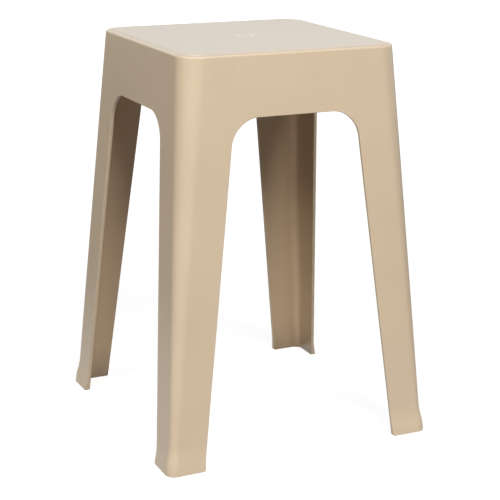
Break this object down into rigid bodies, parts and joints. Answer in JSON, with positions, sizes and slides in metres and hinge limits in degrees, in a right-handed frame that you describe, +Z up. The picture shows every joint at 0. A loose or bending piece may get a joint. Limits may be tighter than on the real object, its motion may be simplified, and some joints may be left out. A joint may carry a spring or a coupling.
{
  "type": "stacking stool",
  "caption": "Moulded plastic stool with a flat square seat, arched sides and tapered angle-shaped corner legs that nest when stacked.",
  "frame": {"origin": "on the floor, below the centre of the seat", "axes": "+Z up, +X to the right and -Y towards the front face, which is the wider of the two faces in the picture"},
  "size_m": [0.3254, 0.3254, 0.45],
  "materials": {
    "moulded_plastic": "satin polypropylene in warm sand beige, with a fine moulded grain"
  },
  "bodies": {
    "root": {"seat_panel": "moulded_plastic", "rib_grid": "moulded_plastic", "apron_front": "moulded_plastic", "apron_right": "moulded_plastic", "apron_rear": "moulded_plastic", "apron_left": "moulded_plastic", "leg_rear_right": "moulded_plastic", "leg_rear_left": "moulded_plastic", "leg_front_left": "moulded_plastic", "leg_front_right": "moulded_plastic", "stacking_gusset_rear_right": "moulded_plastic", "stacking_gusset_rear_left": "moulded_plastic", "stacking_gusset_front_left": "moulded_plastic", "stacking_gusset_front_right": "moulded_plastic"}
  },
  "joints": []
}
